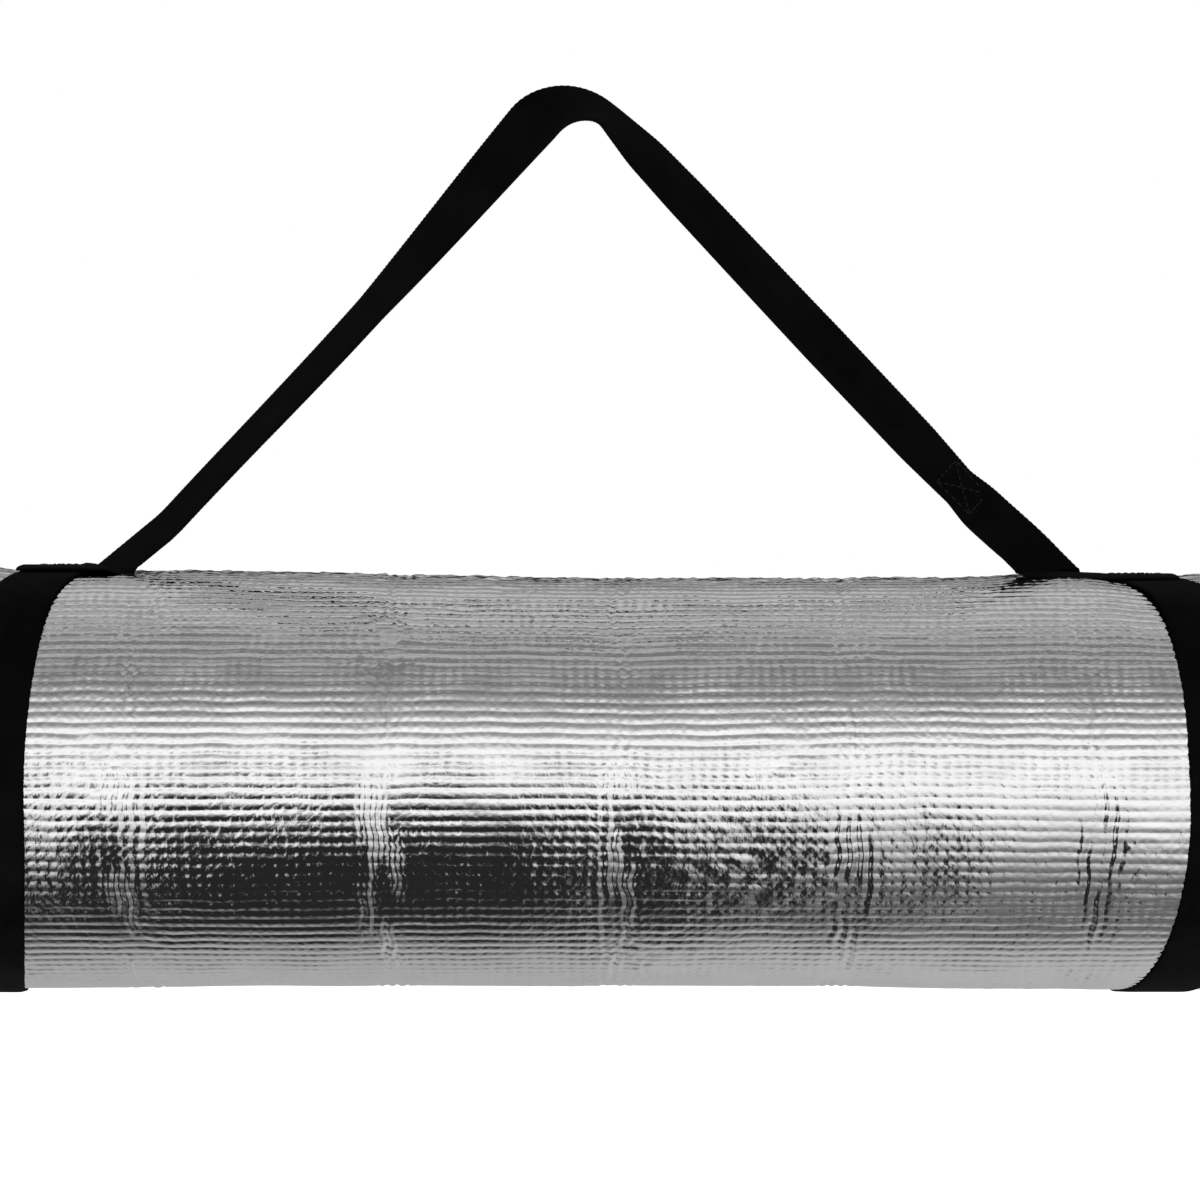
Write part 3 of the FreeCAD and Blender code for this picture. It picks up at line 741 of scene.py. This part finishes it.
# --- The carrying strap ---------------------------------------------------------------------------
# Its middle line runs flat on the left loop, up the left leg, over the hang point and down the right
# leg, where it is lapped onto the lead from the right loop.
APEX_X, APEX_HEIGHT = -1.6 * MM, 18.1 * MM
APEX_ROUNDING = 22 * MM
LEFT_SLOPE, RIGHT_SLOPE = math.tan(math.radians(47.8)), math.tan(math.radians(46.7))
LEFT_BOW, RIGHT_BOW = 2.1 * MM, 0.2 * MM
LEFT_END_X = -215.2 * MM
FOLD_ROUNDING, EASE_ROUNDING = 2 * MM, 20 * MM
# Where its path is this steep, a leg has all of its own turn; where it is level, it lies flat.
FOLD_STEEPNESS = math.tan(math.radians(38))
LEFT_FOLD_RUN, RIGHT_FOLD_RUN = -0.90, 1.10
FOLD_SPREAD = 14 * MM
LEFT_BEND_Z, LEFT_BEND_ROUNDING = ROLL_TOP + 20 * MM, 60 * MM
LEFT_FOLD_X = -180.3 * MM
STRAP_END_Z = ROLL_TOP + 26 * MM
LEAD_START = (146.9 * MM, ROLL_TOP + 38.2 * MM)
LEAD_BEND = (158.6 * MM, ROLL_TOP + 26.4 * MM)
LEAD_CORNER_X = 183.7 * MM
LEAD_BEND_ROUNDING = 20 * MM
RIGHT_END_X = 231.0 * MM
# The middle line's height over a loop's own at a foot, and over the roll's crown at a fold.
FOOT_LIFT, FOLD_LIFT = 1.02 * WEBBING_THICKNESS, 0.4 * WEBBING_THICKNESS
# The lead lies this far under the strap, and comes up to its own line between these two places.
LAP_DEPTH = 1.05 * WEBBING_THICKNESS
LAP_FOOT_X, LAP_END_X = 176 * MM, 156 * MM

# How far the webbing is turned from facing front (0) to lying flat (90), at places along the strap.
STRAP_ROLL = [
    (-172, 57), (-130, 56), (-80, 53), (-48, 40), (-16, 27), (12, 60), (26, 46), (42, 42), (95, 38),
    (132, 39), (150, 46),
]
LEAD_ROLL = [(149, 46), (157, 36), (180, 36)]


def rounded_path(corners, roundings, step):
    """Even points along a run of straight lines whose inner corners are rounded by arcs."""
    points = [np.array(corners[0])]
    for before, corner, after, radius in zip(corners, corners[1:], corners[2:], roundings):
        before, corner, after = np.array(before), np.array(corner), np.array(after)
        backward, forward = unit(before - corner), unit(after - corner)
        half_angle = math.acos(float(np.clip(backward @ forward, -1, 1))) / 2
        reach = radius / math.tan(half_angle)
        centre = corner + unit(backward + forward) * radius / math.sin(half_angle)
        start, end = corner + backward * reach - centre, corner + forward * reach - centre
        sweep = math.pi - 2 * half_angle
        for share in np.linspace(0, 1, 24):
            blend = math.sin((1 - share) * sweep) * start + math.sin(share * sweep) * end
            points.append(centre + blend / math.sin(sweep))
    points.append(np.array(corners[-1]))
    points = np.array(points)
    lengths = np.concatenate([[0], np.cumsum(np.linalg.norm(np.diff(points, axis=0), axis=1))])
    even = np.linspace(0, lengths[-1], int(lengths[-1] / step))
    return np.stack([np.interp(even, lengths, points[:, axis]) for axis in (0, 1)], axis=1)


ROLL_SMOOTHING = 13
# The webbing settles onto the roll's round top as it turns from this many degrees to lying flat.
SETTLING_ROLL = 62


def webbing_frame(path, roll_keys, lift):
    """Middle line, across and outward directions of webbing on a path of (x, z) points in the plane
    Y = 0, turned as roll_keys says; each point is moved by its `lift` out of its own face. At a foot
    the leg folds over along an oblique line and lies flat on its loop."""
    heading = unit(np.gradient(path, axis=0))
    tangent = np.stack([heading[:, 0], 0 * heading[:, 0], heading[:, 1]], axis=1)
    outward = np.stack([-heading[:, 1], 0 * heading[:, 0], heading[:, 0]], axis=1)
    key_x, key_roll = np.array(roll_keys, dtype=float).T
    roll = np.interp(path[:, 0], key_x * MM, key_roll)
    kernel = np.hanning(ROLL_SMOOTHING + 2)[1:-1]
    padded = np.pad(roll, ROLL_SMOOTHING // 2, mode="edge")
    roll = np.radians(np.convolve(padded, kernel / kernel.sum(), mode="valid"))
    steepness = -np.sign(path[:, 0]) * heading[:, 1] / np.maximum(heading[:, 0], 0.1)
    standing = np.where(path[:, 1] < LEG_BOTTOM, np.clip(steepness / FOLD_STEEPNESS, 0, 1), 1)
    roll = np.arccos(np.cos(roll) * standing)[:, None]
    across = outward * np.cos(roll) + np.array([[0.0, 1.0, 0.0]]) * np.sin(roll)
    normals = np.cross(tangent, across)
    middles = np.stack([path[:, 0], 0 * path[:, 0], path[:, 1]], axis=1) + normals * lift[:, None]
    crown = smooth_step(np.degrees(roll[:, 0]), SETTLING_ROLL, 90)
    return middles, across, normals, crown


# The least share of the strip's heading that runs along the roll, so that no fold runs away.
LEAST_HEADING = 0.4


def strap_piece(name, strip, fold_x, fold_run):
    """A length of webbing with one oblique fold, where it leaves its loop for the leg. `fold_run` says
    how far the fold runs along the roll from the strip's middle to its back edge, in half widths."""
    middles, across, normals, crown = strip
    heading_x = np.maximum(unit(np.gradient(middles, axis=0))[:, 0], LEAST_HEADING)
    skew = (fold_run - across[:, 0]) / heading_x * hump(middles[:, 0], fold_x, FOLD_SPREAD)
    piece = webbing_mesh(name, middles, across, normals, closed=False, crown=crown, skew=skew)
    piece.data.materials.append(black_webbing)
    cross_flex(piece)
    return piece


def cross_flex(piece):
    """Bake the piece's placement into its mesh."""
    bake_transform(piece)


def bowed(path):
    """Let each leg hang slightly inward of the straight line from apex to foot."""
    share = np.clip(np.abs(path[:, 0] - APEX_X) / FLEX_X, 0, 1)
    bow = np.where(path[:, 0] < APEX_X, LEFT_BOW, RIGHT_BOW) * np.sin(math.pi * share) ** 2
    heading = unit(np.gradient(path, axis=0))
    return path - np.stack([-heading[:, 1], heading[:, 0]], axis=1) * bow[:, None]


def foot_level(loop_top_x):
    """The height of a foot's middle line, where it lies just clear of a loop's outer face."""
    return ROLL_TOP + roll_swell(loop_top_x, 1, 0) + LOOP_MIDDLE_LIFT + FOOT_LIFT


def fold_level(x):
    """The height of the webbing's middle line at a fold, where it presses on the roll's crown."""
    return ROLL_TOP + roll_swell(x, 1, 0) + FOLD_LIFT


left_level, right_level = foot_level(LEFT_LOOP_TOP), foot_level(RIGHT_LOOP_TOP)
left_edge, right_edge = LEFT_LOOP_TOP + WEBBING_WIDTH / 2, RIGHT_LOOP_TOP - WEBBING_WIDTH / 2
left_fold_level, right_fold_level = fold_level(LEFT_FOLD_X), fold_level(LEAD_CORNER_X)
left_bend_x = APEX_X - (APEX_HEIGHT - LEFT_BEND_Z) / LEFT_SLOPE
apex_to_strap_end = (APEX_HEIGHT - STRAP_END_Z) / RIGHT_SLOPE
strap_corners = [
    (LEFT_END_X, left_level),
    (left_edge, left_level),
    (LEFT_FOLD_X, left_fold_level),
    (left_bend_x, LEFT_BEND_Z),
    (APEX_X, APEX_HEIGHT),
    (APEX_X + apex_to_strap_end, STRAP_END_Z),
]
lead_corners = [
    LEAD_START,
    LEAD_BEND,
    (LEAD_CORNER_X, right_fold_level),
    (right_edge, right_level),
    (RIGHT_END_X, right_level),
]
strap_roundings = [EASE_ROUNDING, FOLD_ROUNDING, LEFT_BEND_ROUNDING, APEX_ROUNDING]
strap_path = bowed(rounded_path(strap_corners, strap_roundings, YARN))
lead_path = rounded_path(lead_corners, [LEAD_BEND_ROUNDING, FOLD_ROUNDING, EASE_ROUNDING], YARN)
under_strap = -LAP_DEPTH * smooth_step(-lead_path[:, 0], -LAP_FOOT_X, -LAP_END_X)
strap_strip = webbing_frame(strap_path, STRAP_ROLL, 0 * strap_path[:, 0])
lead_strip = webbing_frame(lead_path, LEAD_ROLL, under_strap)
strap = strap_piece("carry_strap_webbing", strap_strip, LEFT_FOLD_X, LEFT_FOLD_RUN)
lead = strap_piece("lead_webbing", lead_strip, LEAD_CORNER_X, RIGHT_FOLD_RUN)
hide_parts("carry_strap", "left_strap_foot")
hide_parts("right_strap_lead", "right_strap_foot")

# --- Seams ----------------------------------------------------------------------------------------
# Each seam is a stitched square with a cross in it. A stitch is a short bowed length of thread whose
# ends dive into the webbing.
THREAD_RADIUS = 0.32 * MM
# A stitch thins to this share of its radius at its ends.
THREAD_TAPER = 0.72
STITCH_PITCH = 3.0 * MM
STITCH_LENGTH = 2.5 * MM
# How deep a stitch's ends lie, and how far its middle rises above them.
STITCH_DIVE, STITCH_RISE = 0.30 * MM, 0.42 * MM
STITCH_RINGS, STITCH_SIDES = 7, 6
SEAM_HALF = 8.9 * MM


def seam_stitches():
    """Starts and ends of the stitches of one seam, as (along, across) from its middle."""
    half = SEAM_HALF
    corners = [(-half, -half), (half, -half), (half, half), (-half, half)]
    lines = [(corners[number], corners[(number + 1) % 4]) for number in range(4)]
    lines += [(corners[0], corners[2]), (corners[1], corners[3])]
    stitches = []
    for start, end in lines:
        start, end = np.array(start), np.array(end)
        length = np.linalg.norm(end - start)
        count = int(length / STITCH_PITCH)
        for number in range(count):
            middle = start + (end - start) * (number + 0.5) / count
            reach = (end - start) / length * STITCH_LENGTH / 2
            stitches.append((middle - reach, middle + reach))
    return stitches


def make_seam(name, node, strip, seam_middle):
    """Stitches on a strip's outer face, centred where its middle line is nearest to seam_middle."""
    middles, across, normals, crown = strip
    steps = np.linalg.norm(np.diff(middles, axis=0), axis=1)
    lengths = np.concatenate([[0], np.cumsum(steps)])
    nearest = np.argmin(np.linalg.norm(middles - np.array(seam_middle), axis=1))

    def between_rows(vectors, place):
        return np.array([np.interp(place, lengths, vectors[:, axis]) for axis in range(3)])

    def on_face(along, sideways, height):
        place = lengths[nearest] + along
        point = between_rows(middles, place) + between_rows(across, place) * sideways
        point = point + between_rows(normals, place) * height
        point[2] -= np.interp(place, lengths, crown) * settle_drop(point[1])
        return point

    points, faces = [], []
    rings, sides = STITCH_RINGS, STITCH_SIDES
    surface = WEBBING_THICKNESS / 2 - WEAVE_HEIGHT
    for start, end in seam_stitches():
        first = len(points)
        direction = (end - start) / np.linalg.norm(end - start)
        for ring in range(rings):
            share = ring / (rings - 1)
            arch = math.sin(math.pi * share) ** 0.5
            centre = start + (end - start) * share
            thick = THREAD_RADIUS * (THREAD_TAPER + (1 - THREAD_TAPER) * arch)
            for side in range(sides):
                angle = 2 * math.pi * side / sides
                sideways = math.cos(angle) * thick
                height = surface - STITCH_DIVE + STITCH_RISE * arch + math.sin(angle) * thick
                along_seam = centre[0] - direction[1] * sideways
                across_seam = centre[1] + direction[0] * sideways
                points.append(on_face(along_seam, across_seam, height))
        for ring in range(rings - 1):
            for side in range(sides):
                near, far = first + ring * sides, first + (ring + 1) * sides
                after = (side + 1) % sides
                faces.append((near + side, near + after, far + after, far + side))
        faces.append(tuple(first + side for side in range(sides))[::-1])
        faces.append(tuple(first + (rings - 1) * sides + side for side in range(sides)))
    mesh = bpy.data.meshes.new(name)
    mesh.from_pydata([tuple(point) for point in points], [], faces)
    mesh.polygons.foreach_set("use_smooth", [True] * len(mesh.polygons))
    seam = bpy.data.objects.new(name, mesh)
    bpy.context.scene.collection.objects.link(seam)
    mesh.materials.append(black_thread)
    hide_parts(node)
    return seam


def node_middle(node):
    low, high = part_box(node)
    return [(lowest + highest) / 2 for lowest, highest in zip(low, high)]


left_seam_middle = (LEFT_LOOP_TOP, 0, left_level)
right_seam_middle = (RIGHT_LOOP_TOP, 0, right_level)
left_seam = make_seam("left_foot_seam", "left_foot_stitching", strap_strip, left_seam_middle)
right_seam = make_seam("right_foot_seam", "right_foot_stitching", lead_strip, right_seam_middle)
lap_seam = make_seam("lap_seam", "lap_stitching", strap_strip, node_middle("lap_stitching"))
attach(left_seam, "loops")
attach(right_seam, "loops")
cross_flex(lap_seam)

# --- Stage ----------------------------------------------------------------------------------------
FLOOR_DROP = 0.75
FLOOR_HALF = 30.0


def make_floor():
    mesh = bpy.data.meshes.new("floor")
    half = FLOOR_HALF
    corners = [(-half, -half, 0), (half, -half, 0), (half, half, 0), (-half, half, 0)]
    mesh.from_pydata(corners, [], [(0, 1, 2, 3)])
    floor = bpy.data.objects.new("floor", mesh)
    bpy.context.scene.collection.objects.link(floor)
    floor.location = (0, 0, -FLOOR_DROP)
    material, shader = new_material("pale_floor")
    shader.inputs["Base Color"].default_value = (0.9, 0.9, 0.9, 1)
    shader.inputs["Roughness"].default_value = 0.9
    shader.inputs["Emission Color"].default_value = (1, 1, 1, 1)
    shader.inputs["Emission Strength"].default_value = 0.9
    mesh.materials.append(material)
    floor.visible_glossy = False


# Areas of light and shade round the object, by elevation in degrees: 0 in front, 90 overhead, 180
# behind, -90 underneath. Each of these is (middle, spread, strength).
LAMP = (9, 30, 1.07)
CEILING = (118, 62, 0.46)
DARK_BEAM = (163, 9, -0.42)
RIGHT_FLOOR = (-90, 42, 0.11)
# How far the lamp spreads below its middle: where it ends soon, and where it reaches lower.
LAMP_SPREAD_BELOW = (18, 45)
# The ceiling's panels: their spacing and the middle of one, in degrees, and how much they differ.
PANEL_SPACING, PANEL_START, PANEL_SHADE = 34, 86, 0.28
# Each of these rises from nothing at the first elevation to its strength at the second; the backdrop
# lies below, so its elevations are counted downwards.
BACKDROP = (70, 120, 0.43)
WALL_TOP = (170, 179, 0.38)
# The least light from any side.
AMBIENT = 0.02
# Shares by place from the left (0) to the right (1): where the lamp reaches lower, and where the
# grey floor lies.
LOW_LAMP_STOPS = [(0.36, 1.0), (0.40, 0.0), (0.50, 0.0), (0.575, 1.0)]
RIGHT_FLOOR_STOPS = [(0.50, 0.0), (0.515, 0.65), (0.57, 1.0)]


def make_world():
    """A white studio: a broad soft lamp in front, a panelled grey ceiling with a dark beam, a floor in
    front that is dark on the left and grey on the right, a pale wall behind and a pale backdrop that
    comes forward under the object. Towards the right, and at the far left, the lamp reaches lower."""
    world = bpy.data.worlds.new("studio")
    bpy.context.scene.world = world
    world.use_nodes = True
    tree = world.node_tree
    tree.nodes.clear()
    make = Nodes(tree)
    output = make.add("ShaderNodeOutputWorld")
    direction = make.add("ShaderNodeTexCoord").outputs["Generated"]
    split = make.add("ShaderNodeSeparateXYZ")
    make.link(direction, split.inputs[0])
    forward = make.math("MULTIPLY", split.outputs["Y"], -1.0)
    radians = make.math("ARCTAN2", split.outputs["Z"], forward)
    elevation = make.math("MULTIPLY", radians, 180 / math.pi)
    sideways = make.math("ADD", make.math("MULTIPLY", split.outputs["X"], 0.5), 0.5)
    low_share = make.ramp(sideways, LOW_LAMP_STOPS)

    def glow(middle, spread, strength):
        off = make.math("DIVIDE", make.math("SUBTRACT", elevation, middle), spread)
        square = make.math("MULTIPLY", make.math("MULTIPLY", off, off), -1.0)
        return make.math("MULTIPLY", make.math("EXPONENT", square), strength)

    def rising(value, start, end, strength):
        node = make.add("ShaderNodeMapRange", interpolation_type="SMOOTHSTEP")
        make.link(value, node.inputs["Value"])
        node.inputs["From Min"].default_value = start
        node.inputs["From Max"].default_value = end
        node.inputs["To Max"].default_value = strength
        return node.outputs["Result"]

    lamp_middle, spread_above, lamp_strength = LAMP
    narrow, wide = LAMP_SPREAD_BELOW
    spread_below = make.math("ADD", make.math("MULTIPLY", low_share, wide - narrow), narrow)
    is_above = make.math("GREATER_THAN", elevation, lamp_middle)
    lamp_above = glow(lamp_middle, spread_above, lamp_strength)
    lamp_below = glow(lamp_middle, spread_below, lamp_strength)
    lamp = make.math(
        "ADD",
        make.math("MULTIPLY", lamp_above, is_above),
        make.math("MULTIPLY", lamp_below, make.math("SUBTRACT", 1.0, is_above)),
    )
    right_share = make.ramp(sideways, RIGHT_FLOOR_STOPS)
    lamp = make.math("ADD", lamp, make.math("MULTIPLY", glow(*RIGHT_FLOOR), right_share))
    backdrop = rising(make.math("MULTIPLY", elevation, -1.0), *BACKDROP)
    wall = rising(elevation, *WALL_TOP)
    turns = make.math("DIVIDE", make.math("SUBTRACT", elevation, PANEL_START), PANEL_SPACING)
    panels = make.math("COSINE", make.math("MULTIPLY", turns, 2 * math.pi))
    panels = make.math("ADD", make.math("MULTIPLY", panels, PANEL_SHADE), 1.0)
    ceiling = make.math("ADD", make.math("MULTIPLY", glow(*CEILING), panels), glow(*DARK_BEAM))
    light = make.math("ADD", make.math("ADD", lamp, backdrop), make.math("ADD", ceiling, wall))
    light = make.math("MAXIMUM", light, AMBIENT)
    shade = make.add("ShaderNodeBackground")
    make.link(light, shade.inputs["Color"])
    shade.inputs["Strength"].default_value = 1.0
    plain = make.add("ShaderNodeBackground")
    plain.inputs["Color"].default_value = (1, 1, 1, 1)
    seen = make.add("ShaderNodeLightPath").outputs["Is Camera Ray"]
    mix = make.add("ShaderNodeMixShader")
    make.link(seen, mix.inputs["Fac"])
    make.link(shade.outputs[0], mix.inputs[1])
    make.link(plain.outputs[0], mix.inputs[2])
    make.link(mix.outputs[0], output.inputs["Surface"])


make_floor()
make_world()
bpy.context.scene.view_settings.view_transform = "Standard"

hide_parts("foil_facing")
